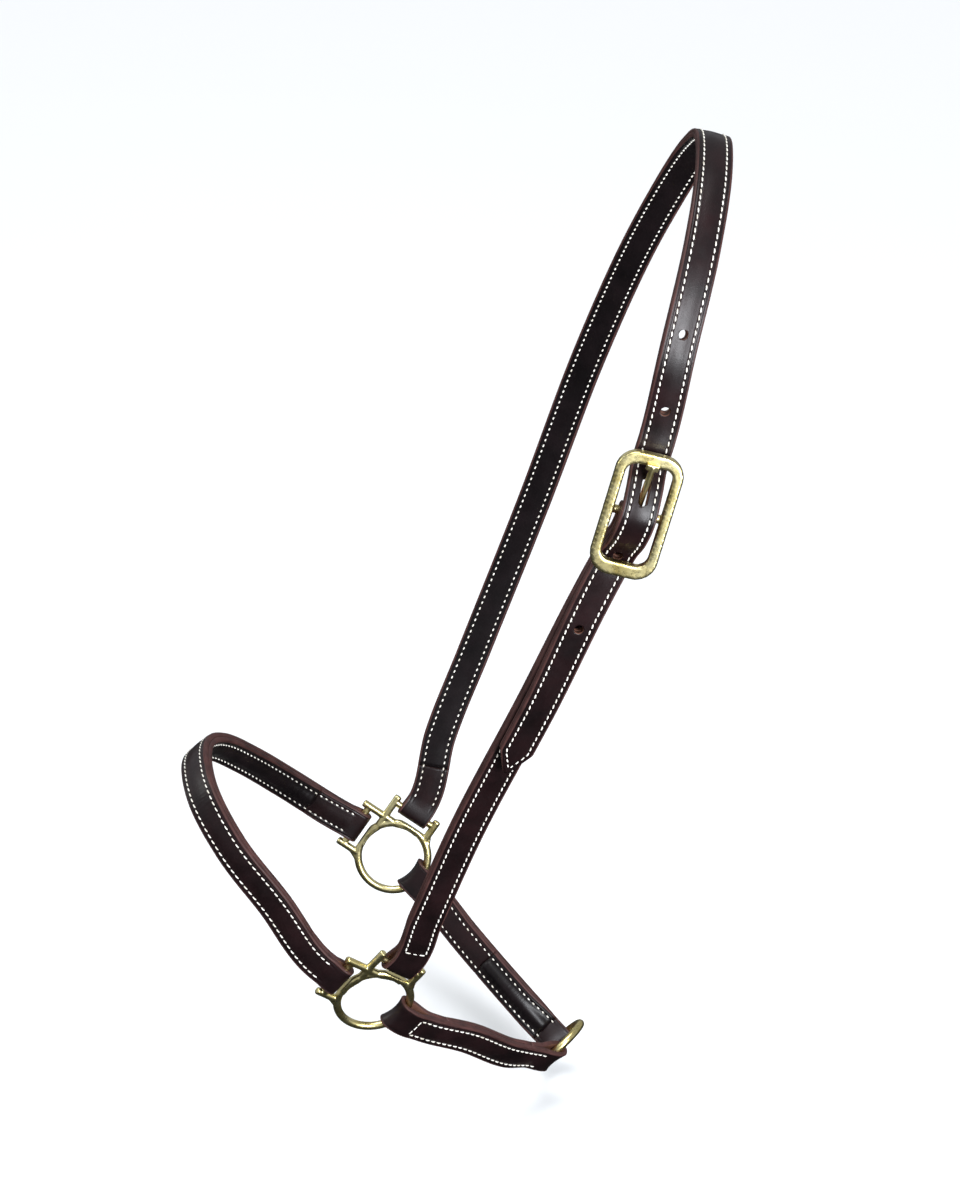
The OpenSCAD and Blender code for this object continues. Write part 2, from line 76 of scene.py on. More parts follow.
# ---- driving dimensions, in millimetres ----
STRAP_W = 19.0
HALF_W = STRAP_W / 2
STITCH_INSET = 3.5
STITCH_PITCH = 3.9
PLY_T, FILLER_T = 2.7, 1.6
CROWN_PLY_T, CROWN_FILLER_T = 2.2, 0.6
CHEEK_T = 2 * PLY_T + FILLER_T
CROWN_T = 2 * CROWN_PLY_T + CROWN_FILLER_T
STATION, CROWN_STATION = 9, 6  # distance between the design's cross-sections
FINE = 1.5  # distance between the mesh's cross-sections
FIT = 0.4
THREAD_T = 0.7
HOLE_D, HOLE_PITCH = 5.0, 43
TAIL_SLACK = 4  # added to the pitch of the holes in the tail
HOLE_IN_USE = 17  # how far above the buckle's middle the hole in use was punched
TONGUE_SLOT_AT = 12.5  # how far above the buckle's middle the tongue comes through the crown
TONGUE_SLOT = (15, 4.6)  # length and width that the tongue has drawn its hole out to
EYE_SLOT = (18, 6.4)  # length and width of the slot for the tongue in the cheekpiece's fold
BUTT_GAP = 0.3  # between a turned-back end and the lining
SKIVE, SKIVE_LENGTH = 0.12, 5  # the share of its thickness that an end is thinned by, and over what length
TIP_TAPER, TIP_SHARE = 15, 0.2  # length of the pointed tip, and the share of the width left at its point
TIP_SEAM = 3.4  # how far before the point the stitching ends
RING_R, WIRE_R, RING_INSET = 21.0, 2.1, 2.2
CHIN_R, CHIN_WIRE_R, CHIN_INSET = 17.2, 2.2, 1.4
SLOT_BAR_R, BAR_R = 1.8, 2.0
BUCKLE_T, BAR_OUT = 5.0, -1.5


# ---- vectors ----
def unit(v):
    """The same directions, each made one long."""
    v = np.asarray(v, float)
    return v / np.linalg.norm(v, axis=-1, keepdims=True)


def square_to(v, a):
    """What is left of v square to the direction a, made one long."""
    v = np.asarray(v, float)
    return unit(v - (v * a).sum(-1, keepdims=True) * a)


def smooth(t):
    """Eases from 0 to 1 as t does."""
    c = np.clip(t, 0, 1)
    return c * c * (3 - 2 * c)


# ---- places taken from the frame ----
mounts = {m["name"]: m for m in frame["record"]["mounts"]}
joints = {j["name"]: j for j in frame["joints"]}
near_ring_at = np.array(mounts["near_ring"]["pos_m"]) / MM
far_ring_at = np.array(mounts["far_ring"]["pos_m"]) / MM
MIDWAY = (near_ring_at + far_ring_at) / 2
chin_at = np.array(mounts["lead_ring"]["pos_m"]) / MM - MIDWAY
chin_axis = unit(mounts["lead_ring"]["axis"])
bar_at = np.array(joints["buckle_rock"]["pos_m"]) / MM - MIDWAY
buckle_side = unit(joints["buckle_rock"]["axis"])
BUCKLE_LEAN = [0.26, 0.14, 0.955]
buckle_up = square_to(BUCKLE_LEAN, buckle_side)
buckle_out = np.cross(buckle_side, buckle_up)
buckle_at = bar_at - BAR_OUT * buckle_out

NEAR, FAR = -1, 1
ring_centre = {NEAR: near_ring_at - MIDWAY, FAR: far_ring_at - MIDWAY}
RING_TILT = {NEAR: 11, FAR: 16}
RING_TURN = {NEAR: 12, FAR: 2}
RING_ROLL = {NEAR: -3, FAR: 0}
HEAD_SLOT = 56  # angle from a ring's rear up to its cheek slot; the nose slot is a right angle further
SLOT_MID = 4
SLOT_BAR_AT = 29


def ring_dir(side, angle):
    """A direction in a cheek ring's plane, from its rear upwards."""
    tilt, turn = math.radians(RING_TILT[side]), math.radians(RING_TURN[side])
    a = math.radians(angle + RING_ROLL[side])
    turned = np.array(
        [
            [math.cos(turn), -math.sin(turn), 0],
            [math.sin(turn), math.cos(turn), 0],
            [0, 0, 1],
        ]
    )
    x = turned @ [1, 0, 0]
    y = turned @ [0, side * math.sin(tilt), math.cos(tilt)]
    return math.cos(a) * x + math.sin(a) * y


def ring_point(side, along_head, along_nose):
    """A point in a cheek ring's plane, from its middle towards its two slots."""
    return (
        ring_centre[side]
        + along_head * ring_dir(side, HEAD_SLOT)
        + along_nose * ring_dir(side, HEAD_SLOT + 90)
    )


def buckle_point(up, out, aside=0):
    """A point from the middle of the buckle's frame."""
    return buckle_at + up * buckle_up + out * buckle_out + aside * buckle_side


chin_up = square_to([0, 0, 1], chin_axis)
chin_far = np.cross(chin_up, chin_axis)


def chin_wrap(angle):
    """A knot where a chin strap is folded round the chin ring."""
    a = math.radians(angle)
    outwards = math.cos(a) * chin_far + math.sin(a) * chin_up
    tangent = math.cos(a) * chin_up - math.sin(a) * chin_far
    return [chin_at + (CHIN_R - CHIN_INSET) * outwards, tangent]


# ---- routes ----
class Route:
    """Cross-sections along a strap: point, forward, sideways and outward, and the distance from each end."""

    def __init__(self, points, forward, sideways, outward):
        self.points, self.forward = points, forward
        self.sideways, self.outward = sideways, outward
        steps = np.linalg.norm(np.diff(points, axis=0), axis=1)
        self.start = np.concatenate([[0], np.cumsum(steps)])
        self.end = self.start[-1] - self.start

    def part(self, keep):
        return Route(self.points[keep], self.forward[keep], self.sideways[keep], self.outward[keep])

    def joined(self, other):
        both = zip(
            (self.points, self.forward, self.sideways, self.outward),
            (other.points, other.forward, other.sideways, other.outward),
        )
        return Route(*[np.concatenate(pair) for pair in both])

    def at(self, distance):
        """Index of the section nearest to that distance from the start."""
        return int(np.abs(self.start - distance).argmin())


def knot_directions(points):
    """A route's direction at each knot, closer to that of the shorter step beside it."""
    steps = [b - a for a, b in zip(points, points[1:])]
    inner = [
        unit(unit(back) * np.linalg.norm(ahead) + unit(ahead) * np.linalg.norm(back))
        for back, ahead in zip(steps, steps[1:])
    ]
    return [unit(steps[0]), *inner, unit(steps[-1])]


def route(knots, station):
    """The design's route through its knots [point, sideways], with finer sections."""
    points = [np.array(k[0], float) for k in knots]
    sides = [np.array(k[1], float) for k in knots]
    dirs = knot_directions(points)
    finer = round(station / FINE)
    rows = []
    for i, (a, b) in enumerate(zip(points, points[1:])):
        length = np.linalg.norm(b - a)
        count = max(1, math.ceil(length / station)) * finer
        last = i == len(points) - 2
        for t in np.arange(count + last) / count:
            da, db = length * dirs[i], length * dirs[i + 1]
            p = (
                (2 * t**3 - 3 * t**2 + 1) * a
                + (t**3 - 2 * t**2 + t) * da
                + (3 * t**2 - 2 * t**3) * b
                + (t**3 - t**2) * db
            )
            along = unit(
                6 * (t**2 - t) * a
                + (3 * t**2 - 4 * t + 1) * da
                + 6 * (t - t**2) * b
                + (3 * t**2 - 2 * t) * db
            )
            side = square_to(sides[i] + (sides[i + 1] - sides[i]) * smooth(t), along)
            rows.append((p, along, side, np.cross(side, along)))
    return Route(*[np.array(column) for column in zip(*rows)])


def lead(knot, towards, length):
    """A short straight lead away from a bar, square to it."""
    bar, side = knot
    return [bar + length * square_to(np.array(towards, float) - bar, unit(side)), side]


def noseband_route():
    near_bar = [ring_point(NEAR, SLOT_MID, SLOT_BAR_AT), ring_dir(NEAR, HEAD_SLOT)]
    far_bar = [ring_point(FAR, SLOT_MID, SLOT_BAR_AT), ring_dir(FAR, HEAD_SLOT)]
    first, last = (-55, -79, 67), (-61, 70, 52)
    knots = [
        near_bar,
        lead(near_bar, first, length=12),
        [first, [0.60, 0, 0.80]],
        [(-79, -70, 97), [0.66, -0.05, 0.74]],
        [(-95, -52, 117), [0.72, 0, 0.70]],
        [(-102, -28, 123), [0.73, 0, 0.69]],
        [(-103, 0, 118), [0.73, 0, 0.69]],
        [(-97, 24, 105), [0.73, 0, 0.69]],
        [(-83, 48, 82), [0.70, 0, 0.72]],
        [last, [0.66, 0.05, 0.75]],
        lead(far_bar, last, length=12),
        far_bar,
    ]
    return route(knots, STATION)


BEHIND_FRAME = 3.1
LAP_CLEARANCE = 1.3
CROWN_UNDER = -BUCKLE_T / 2 - BEHIND_FRAME - CROWN_T / 2
LAP = CHEEK_T / 2 + THREAD_T + LAP_CLEARANCE + CROWN_T / 2
CHEEK_UNDER = CROWN_UNDER - LAP
CHEEK_DIP = 5.5  # how far behind the bar the cheekpiece lies just before its fold
HUMP = BAR_OUT + BAR_R + FIT + PLY_T + FIT + CROWN_T / 2
CROWN_RISE = 1.5
DRAWN_UP = 0.6  # how much further out the straps lie inside the frame than just beyond it
TAIL_FROM, TAIL_END = 50, 178


def cheekpiece_route():
    bar = [ring_point(NEAR, SLOT_BAR_AT, SLOT_MID), ring_dir(NEAR, HEAD_SLOT - 90)]
    first = (31, -86, 64)
    knots = [
        bar,
        lead(bar, first, length=7),
        [first, [0.80, 0.27, -0.53]],
        [(53, -93, 125), [0.84, 0.26, -0.46]],
        [(91, -108, 218), [0.88, 0.24, -0.40]],
        [buckle_point(-40, CHEEK_UNDER, aside=-5), buckle_side],
        [buckle_point(-25, CHEEK_UNDER + DRAWN_UP, aside=-2), buckle_side],
        [buckle_point(-11, BAR_OUT - CHEEK_DIP), buckle_side],
        [buckle_point(0, BAR_OUT), buckle_side],
    ]
    return route(knots, STATION)


def tail_route(cheek):
    """The crown's tail, laid on the cheekpiece."""
    design = np.zeros(len(cheek.points), bool)
    design[:: round(STATION / FINE)] = True
    covered = np.flatnonzero(design & (cheek.end >= TAIL_FROM) & (cheek.end <= TAIL_END))
    run = cheek.part(np.arange(covered[-1], covered[0] - 1, -1))
    return Route(run.points + LAP * run.outward, -run.forward, -run.sideways, run.outward)


def crown_route(cheek):
    bar = [ring_point(FAR, SLOT_BAR_AT, SLOT_MID), ring_dir(FAR, HEAD_SLOT + 90)]
    first = (28, 94, 75)
    tail = tail_route(cheek)
    knots = [
        bar,
        lead(bar, first, length=7),
        [first, [-0.90, 0.10, 0.42]],
        [(47, 104, 126), [-0.90, 0.20, 0.38]],
        [(81, 112, 221), [-0.90, 0.20, 0.38]],
        [(114, 99, 327), [-0.90, 0.20, 0.38]],
        [(148, 57, 428), [-0.90, 0.20, 0.36]],
        [(171, 19, 485), [-0.93, 0.14, 0.28]],
        [(177, -6, 500), [-0.96, 0, 0.22]],
        [(178, -38, 496), [-0.96, -0.02, 0.22]],
        [(173, -78, 471), [-0.94, -0.14, 0.30]],
        [(162, -105, 425), [-0.92, -0.20, 0.30]],
        [buckle_point(40, CROWN_UNDER), -buckle_side],
        [buckle_point(25, CROWN_UNDER + DRAWN_UP), -buckle_side],
        [buckle_point(13, CROWN_RISE), -buckle_side],
        [buckle_point(0, HUMP), -buckle_side],
        [buckle_point(-13, CROWN_RISE, aside=-0.5), -buckle_side],
        [buckle_point(-25, CROWN_UNDER + DRAWN_UP, aside=-2), -buckle_side],
        [buckle_point(-40, CROWN_UNDER, aside=-5), -buckle_side],
        [tail.points[0], -buckle_side],
    ]
    return route(knots, CROWN_STATION).joined(tail.part(np.arange(1, len(tail.points))))


def cheek_arc(side, angle, way):
    """A knot where a chin strap is folded round the lower arc of its cheek ring."""
    point = ring_centre[side] + (RING_R - RING_INSET) * ring_dir(side, angle)
    return [point, way * ring_dir(side, angle + 90)]


def near_chin_route():
    start = cheek_arc(NEAR, angle=-38, way=-1)
    end = chin_wrap(angle=174)
    knots = [
        start,
        lead(start, (32, -66, -23), length=10),
        [(54, -51, -42), [-0.57, 0, -0.81]],
        [(76, -35, -63), [-0.57, 0, -0.81]],
        lead(end, (76, -35, -63), length=12),
        end,
    ]
    return route(knots, STATION)


def far_chin_route():
    start = cheek_arc(FAR, angle=-43, way=1)
    end = chin_wrap(angle=-42)
    knots = [
        start,
        lead(start, (44, 48, -37), length=10),
        [(44, 48, -37), [0.60, 0.10, 0.80]],
        [(79, 22, -65), [0.60, 0.10, 0.80]],
        lead(end, (79, 22, -65), length=8),
        end,
    ]
    return route(knots, STATION)


# ---- materials ----
def new_material(name):
    """A material, its node tree and its shader."""
    material = bpy.data.materials.new(name)
    material.use_nodes = True
    tree = material.node_tree
    return material, tree, tree.nodes["Principled BSDF"]


def add(tree, kind, **values):
    """A node with its plain inputs and settings filled in."""
    node = tree.nodes.new(kind)
    for key, value in values.items():
        if hasattr(node, key):
            setattr(node, key, value)
        else:
            node.inputs[key.replace("_", " ")].default_value = value
    return node


def noise(tree, vector, scale, detail=4, roughness=0.55):
    node = add(tree, "ShaderNodeTexNoise", Scale=scale, Detail=detail, Roughness=roughness)
    tree.links.new(vector, node.inputs["Vector"])
    return node.outputs["Fac"]


def ramp(tree, value, stops):
    """A colour ramp: stops are (position, colour)."""
    node = tree.nodes.new("ShaderNodeValToRGB")
    tree.links.new(value, node.inputs["Fac"])
    elements = node.color_ramp.elements
    while len(elements) < len(stops):
        elements.new(0.5)
    for element, (position, colour) in zip(elements, stops):
        element.position = position
        element.color = (*colour, 1)
    return node.outputs["Color"]


def math_node(tree, operation, a, b):
    node = add(tree, "ShaderNodeMath", operation=operation)
    for socket, value in zip(node.inputs, (a, b)):
        if isinstance(value, (int, float)):
            socket.default_value = value
        else:
            tree.links.new(value, socket)
    return node.outputs[0]


def spread(tree, value, low, high):
    """A value from 0 to 1 becomes one from low to high."""
    node = add(tree, "ShaderNodeMapRange", To_Min=low, To_Max=high)
    tree.links.new(value, node.inputs["Value"])
    return node.outputs["Result"]


def bump(tree, height, strength, distance, below=None):
    node = add(tree, "ShaderNodeBump", Strength=strength, Distance=distance)
    tree.links.new(height, node.inputs["Height"])
    if below is not None:
        tree.links.new(below, node.inputs["Normal"])
    return node.outputs["Normal"]


def strap_coordinates(tree):
    """Along the strap and across it in millimetres, and how sharply the strap bends there, as one vector."""
    return add(tree, "ShaderNodeAttribute", attribute_name="strap").outputs["Vector"]


def sharpness(tree, coordinates):
    """How sharply the strap bends, taken out of its coordinates."""
    split = tree.nodes.new("ShaderNodeSeparateXYZ")
    tree.links.new(coordinates, split.inputs[0])
    return split.outputs["Z"]


def stretched(tree, vector, scales):
    """A vector multiplied along each of its axes."""
    node = add(tree, "ShaderNodeVectorMath", operation="MULTIPLY")
    tree.links.new(vector, node.inputs[0])
    node.inputs[1].default_value = scales
    return node.outputs[0]


def leather(name, dark, light, roughness, specular, grain, creasing):
    """Waxed bridle leather: cloudy colour, pebbled grain, and wrinkles across the strap where it bends."""
    material, tree, shader = new_material(name)
    place = tree.nodes.new("ShaderNodeTexCoord").outputs["Object"]
    coordinates = strap_coordinates(tree)
    clouds = noise(tree, place, scale=55, detail=5)
    colour = ramp(tree, clouds, [(0.30, dark), (0.72, light)])
    tree.links.new(colour, shader.inputs["Base Color"])
    patches = noise(tree, place, scale=140, detail=3)
    tree.links.new(spread(tree, patches, roughness - 0.10, roughness + 0.12), shader.inputs["Roughness"])
    cells = add(tree, "ShaderNodeTexVoronoi", feature="DISTANCE_TO_EDGE", Scale=1150)
    tree.links.new(place, cells.inputs["Vector"])
    pebbles = bump(tree, cells.outputs["Distance"], strength=grain, distance=0.0002)
    fine = noise(tree, place, scale=3200, detail=3)
    pores = bump(tree, fine, strength=grain * 0.7, distance=0.0001, below=pebbles)
    folds = noise(tree, stretched(tree, coordinates, (0.62, 0.10, 0)), scale=1.0, detail=3)
    wrinkles = math_node(tree, "MULTIPLY", folds, sharpness(tree, coordinates))
    creased = bump(tree, wrinkles, strength=creasing, distance=0.0012, below=pores)
    tree.links.new(creased, shader.inputs["Normal"])
    shader.inputs["Specular IOR Level"].default_value = specular
    shader.inputs["Coat Weight"].default_value = 0.06
    shader.inputs["Coat Roughness"].default_value = 0.25
    return material


def cut_edge(name, dark, light):
    """A dyed and burnished cut edge: fibres run along the strap."""
    material, tree, shader = new_material(name)
    place = tree.nodes.new("ShaderNodeTexCoord").outputs["Object"]
    lengthwise = stretched(tree, strap_coordinates(tree), (0.06, 2.2, 0))
    fibres = noise(tree, lengthwise, scale=1.6, detail=4, roughness=0.7)
    clouds = noise(tree, place, scale=90, detail=4)
    fibre_share = math_node(tree, "MULTIPLY", fibres, 0.6)
    cloud_share = math_node(tree, "MULTIPLY", clouds, 0.4)
    mixed = math_node(tree, "ADD", fibre_share, cloud_share)
    tree.links.new(ramp(tree, mixed, [(0.32, dark), (0.66, light)]), shader.inputs["Base Color"])
    tree.links.new(spread(tree, clouds, low=0.36, high=0.62), shader.inputs["Roughness"])
    ridges = bump(tree, fibres, strength=0.35, distance=0.0003)
    fine = noise(tree, place, scale=1800, detail=3)
    rough = bump(tree, fine, strength=0.25, distance=0.0002, below=ridges)
    tree.links.new(rough, shader.inputs["Normal"])
    shader.inputs["Specular IOR Level"].default_value = 0.35
    return material


def waxed_thread():
    """Off-white thread, slightly soiled and twisted."""
    material, tree, shader = new_material("waxed_thread")
    place = tree.nodes.new("ShaderNodeTexCoord").outputs["Object"]
    soil = noise(tree, place, scale=260, detail=4)
    stops = [
        (0.30, (0.60, 0.55, 0.46)),
        (0.55, (0.86, 0.83, 0.76)),
        (0.80, (0.93, 0.91, 0.86)),
    ]
    tree.links.new(ramp(tree, soil, stops), shader.inputs["Base Color"])
    strands = noise(tree, place, scale=2600, detail=2)
    tree.links.new(bump(tree, strands, strength=0.5, distance=0.0002), shader.inputs["Normal"])
    shader.inputs["Roughness"].default_value = 0.62
    shader.inputs["Specular IOR Level"].default_value = 0.3
    return material


def cast_brass():
    """Cast brass, with a fine satin grain and some tarnish."""
    material, tree, shader = new_material("cast_brass")
    place = tree.nodes.new("ShaderNodeTexCoord").outputs["Object"]
    tarnish = noise(tree, place, scale=75, detail=6, roughness=0.62)
    stops = [
        (0.28, (0.50, 0.39, 0.12)),
        (0.50, (0.80, 0.69, 0.33)),
        (0.75, (0.89, 0.81, 0.48)),
    ]
    tree.links.new(ramp(tree, tarnish, stops), shader.inputs["Base Color"])
    shader.inputs["Metallic"].default_value = 1
    satin = noise(tree, place, scale=420, detail=5, roughness=0.7)
    tree.links.new(spread(tree, satin, low=0.17, high=0.42), shader.inputs["Roughness"])
    dents = bump(tree, noise(tree, place, scale=210, detail=3), strength=0.10, distance=0.0006)
    fine = noise(tree, place, scale=3000, detail=2)
    grained = bump(tree, fine, strength=0.10, distance=0.0001, below=dents)
    tree.links.new(grained, shader.inputs["Normal"])
    return material


FACE = leather(
    "dark_bridle_leather",
    dark=(0.0040, 0.0014, 0.0017),
    light=(0.0140, 0.0042, 0.0050),
    roughness=0.37,
    specular=0.30,
    grain=0.34,
    creasing=0.25,
)
LINING = leather(
    "black_lining_leather",
    dark=(0.0030, 0.0018, 0.0022),
    light=(0.0080, 0.0042, 0.0052),
    roughness=0.38,
    specular=0.28,
    grain=0.28,
    creasing=0.95,
)
EDGE = cut_edge("burnished_edge", dark=(0.014, 0.0050, 0.0046), light=(0.085, 0.030, 0.026))
CORE = cut_edge("raw_core", dark=(0.075, 0.032, 0.022), light=(0.17, 0.075, 0.050))
THREAD = waxed_thread()
BRASS = cast_brass()


# ---- meshes ----
def make_object(name, vertices, faces, materials, face_materials=None, strap=None):
    """A smooth-shaded object, from vertices in millimetres from midway between the cheek rings."""
    mesh = bpy.data.meshes.new(name)
    mesh.from_pydata(((np.asarray(vertices) + MIDWAY) * MM).tolist(), [], faces)
    for material in materials:
        mesh.materials.append(material)
    if face_materials is not None:
        mesh.polygons.foreach_set("material_index", np.asarray(face_materials, np.int32))
    mesh.polygons.foreach_set("use_smooth", np.ones(len(faces), bool))
    if strap is not None:
        layer = mesh.attributes.new("strap", "FLOAT_VECTOR", "POINT")
        layer.data.foreach_set("vector", np.asarray(strap, np.float32).ravel())
    mesh.update()
    made = bpy.data.objects.new(name, mesh)
    bpy.context.scene.collection.objects.link(made)
    return made


# A ply's cross-section. An inset is a distance from the strap's edge, for a strap of full width.
ON_FACE, ON_EDGE, ON_BACK = 0, 1, 2
FACE_INSETS = (9.5, 8.0, 6.6, 5.6, 4.8, 4.2, 3.8, 3.5, 3.2, 2.8, 2.2, 1.85, 1.6, 1.35, 1.05)
BACK_INSETS = (2.6, 3.8, 4.6, 6.5, 9.5)
CORNER, BACK_CORNER = 0.8, 0.35
FACE_RIDGE, RIDGE_TOP, RIDGE_SLOPE = 0.30, 0.8, 4.2  # raised middle: height, half its flat, its slope
CHANNEL_DEPTH, CHANNEL_W = 0.32, 0.45  # groove that the stitches lie in
CREASE_DEPTH, CREASE_W, CREASE_INSET = 0.20, 0.22, 1.6  # line pressed beside the edge
EDGE_FALL, EDGE_FALL_W = 0.22, 2.6  # how far the face falls towards the edge, and over what width
SEAT_FROM, SEAT_SLOPE = 4.6, 1.6  # how far from the middle the back meets the other ply, and its slope
HAIRLINE = 0.03  # between the two plies where they meet


def face_height(inset, closed, raised):
    """How far the face stands off flat: raised middle, stitching channel, pressed crease and falling edge."""
    rise = raised * closed * (1 - smooth((HALF_W - inset - RIDGE_TOP) / RIDGE_SLOPE))
    channel = CHANNEL_DEPTH * closed * math.exp(-(((inset - STITCH_INSET) / CHANNEL_W) ** 2))
    crease = CREASE_DEPTH * math.exp(-(((inset - CREASE_INSET) / CREASE_W) ** 2))
    fall = EDGE_FALL * closed * float(smooth((EDGE_FALL_W - inset) / EDGE_FALL_W))
    return rise - channel - crease - fall


def rounded(across, outward, radius, angles):
    """A corner of the cut edge, rounded about its own centre."""
    turns = [math.radians(a) for a in angles]
    return [(across + radius * math.cos(r), outward + radius * math.sin(r), ON_EDGE) for r in turns]


def half_profile(half, thick, closed, gap, raised):
    """Half of a ply's cross-section, from the middle of its face round the edge to the middle of its back.

    Each point is (across, outward from the ply's middle, material). closed is 1 where the plies are sewn
    together and 0 where the strap is folded open round a bar.
    """
    top = thick / 2 - EDGE_FALL * closed
    seat = closed * max(0.0, gap - thick / 2 - HAIRLINE)
    foot = -thick / 2 - seat
    surface = []
    for inset in FACE_INSETS:
        w = half * (1 - inset / HALF_W)
        surface.append((w, thick / 2 + face_height(inset, closed, raised), ON_FACE))
    surface += rounded(half - CORNER, top - CORNER, CORNER, (75, 50, 25, 0))
    surface.append((half, (top - CORNER + foot + BACK_CORNER) / 2, ON_EDGE))
    surface += rounded(half - BACK_CORNER, foot + BACK_CORNER, BACK_CORNER, (0, -45, -90))
    for inset in BACK_INSETS:
        w = half * (1 - inset / HALF_W)
        seated = float(smooth((HALF_W - inset - SEAT_FROM) / SEAT_SLOPE))
        surface.append((w, -thick / 2 - seat * seated, ON_BACK))
    return surface


def profile(half, thick, closed, gap, raised):
    """A ply's whole cross-section, as a closed ring of points."""
    right = half_profile(half, thick, closed, gap, raised)
    left = [(-w, o, m) for w, o, m in reversed(right[1:-1])]
    return right + left


def swept(name, stations, thick, gap, raised, materials, skive=(0, 0)):
    """A ply along its stations: rows of (point, sideways, half width, closed, along, bend, bow).

    skive gives the share of its thickness that the ply loses at each end.
    """
    points = np.array([s[0] for s in stations])
    ahead = np.concatenate([points[1:], points[-1:]])
    back = np.concatenate([points[:1], points[:-1]])
    along = unit(ahead - back)
    side = square_to(np.array([s[1] for s in stations]), along)
    out = np.cross(side, along)
    total = stations[-1][4]
    vertices, strap = [], []
    for i, (_, _, half, closed, s, bend, bow) in enumerate(stations):
        near_start = max(0, 1 - s / SKIVE_LENGTH)
        near_end = max(0, 1 - (total - s) / SKIVE_LENGTH)
        thin = skive[0] * near_start + skive[1] * near_end
        ring = profile(half, thick * (1 - thin), closed, gap, raised)
        for w, o, _ in ring:
            vertices.append(points[i] + w * side[i] + (o - thick * thin / 2) * out[i] + w * w * bow)
            strap.append((s, w, bend))
    ring_materials = [m for _, _, m in ring]
    count = len(ring)
    faces, kinds = [], []
    for i in range(len(stations) - 1):
        for k in range(count):
            m = (k + 1) % count
            faces.append((i * count + k, i * count + m, (i + 1) * count + m, (i + 1) * count + k))
            kinds.append(max(ring_materials[k], ring_materials[m]))
    last = (len(stations) - 1) * count
    faces.append(tuple(range(count - 1, -1, -1)))
    faces.append(tuple(range(last, last + count)))
    kinds += [ON_EDGE, ON_EDGE]
    return make_object(name, vertices, faces, materials, kinds, strap)


# ---- strap parts ----
class End:
    """A strap's end, folded round metal: lengths are measured from the fold.

    The fold is held open at its radius for a stretch and closes over the next one. turn_back is the length
    of the turned-back end, and the stitching starts at the seam. Round a ring, inset is how far inside the
    wire's middle the route ends, and the strap's own middle stands out from it by as much.
    """

    def __init__(self, radius, held_open, closing, turn_back, seam, ring=None, inset=0.0):
        self.radius, self.held_open, self.closing = radius, held_open, closing
        self.turn_back, self.seam = turn_back, seam
        self.ring, self.inset = ring, inset


RING_HOLD, RING_EASE = 3, 16  # how far a strap keeps a ring's curve, and over what length it loses it


def ring_curve(route_, ends):
    """Where a strap wraps a ring: how far each section's middle and sides move to follow the ring's curve.

    Each row is (shift of the middle, shift for each square millimetre across).
    """
    middle = np.zeros_like(route_.points)
    bow = np.zeros_like(route_.points)
    for distance, end, way, i in ((route_.start, ends[0], -1, 0), (route_.end, ends[1], 1, -1)):
        if end and end.ring:
            share = (1 - smooth((distance - RING_HOLD) / RING_EASE))[:, None]
            inwards = way * route_.forward[i]
            middle -= end.inset * share * inwards
            bow += share * inwards / (2 * end.ring)
    return middle, bow


def fold_gap(route_, gap, ends):
    """How far the ply's middle lies from the strap's middle, and how closed the strap is there."""
    offset = np.full(len(route_.points), float(gap))
    for distance, end in zip((route_.start, route_.end), ends):
        if end:
            opened = gap + (end.radius - gap) * (1 - smooth((distance - end.held_open) / end.closing))
            offset = np.maximum(offset, opened)
    widest = max(e.radius for e in ends if e)
    half_open = 0.5 * (widest - gap)
    closed = 1 - smooth((offset - gap) / half_open)
    return offset, closed


SHARP_BEND, SLIGHT_BEND = 0.022, 0.25  # in radians per millimetre, and the share of that left uncreased


def bends(route_):
    """How sharply each section bends, from 0 to 1, smoothed along the strap."""
    reach, shortest = 10, 0.1
    turn = np.linalg.norm(np.gradient(route_.forward, axis=0), axis=1)
    rate = turn / np.maximum(np.gradient(route_.start), shortest)
    window = np.hanning(2 * reach + 1)
    rate = np.convolve(np.pad(rate, reach, mode="edge"), window / window.sum(), mode="valid")
    return np.clip(rate / SHARP_BEND - SLIGHT_BEND, 0, 1)


def half_widths(route_, taper):
    """Half of the strap's width at each section, narrowing to the tip where the strap has a taper."""
    if not taper:
        return np.full(len(route_.points), HALF_W)
    return HALF_W * np.minimum(1, TIP_SHARE + (1 - TIP_SHARE) * route_.end / taper)


def stations_of(route_, offset, closed, keep, ends, taper=0):
    """Stations for swept at the kept sections, set off from the strap's middle."""
    half = half_widths(route_, taper)
    bend = bends(route_)
    middle, bow = ring_curve(route_, ends)
    return [
        (
            route_.points[i] + middle[i] + offset[i] * route_.outward[i],
            route_.sideways[i],
            half[i],
            closed[i],
            route_.start[i],
            bend[i],
            bow[i],
        )
        for i in keep
    ]


def arc_stations(route_, i, end, way, ends):
    """Stations round the fold at section i, from the outer face to the turned-back end."""
    middle, bow = ring_curve(route_, ends)
    rows = []
    for a in range(10, 180, 10):
        r = math.radians(a)
        swing = math.cos(r) * route_.outward[i] - way * math.sin(r) * route_.forward[i]
        place = route_.points[i] + middle[i] + end.radius * swing
        rows.append((place, route_.sideways[i], HALF_W, 0.0, 0.0, 0.0, bow[i]))
    return rows


def renumbered(stations):
    """The same stations with their distance along the ply itself."""
    points = np.array([s[0] for s in stations])
    lengths = np.concatenate([[0], np.cumsum(np.linalg.norm(np.diff(points, axis=0), axis=1))])
    return [(*s[:4], float(d), *s[5:]) for s, d in zip(stations, lengths)]


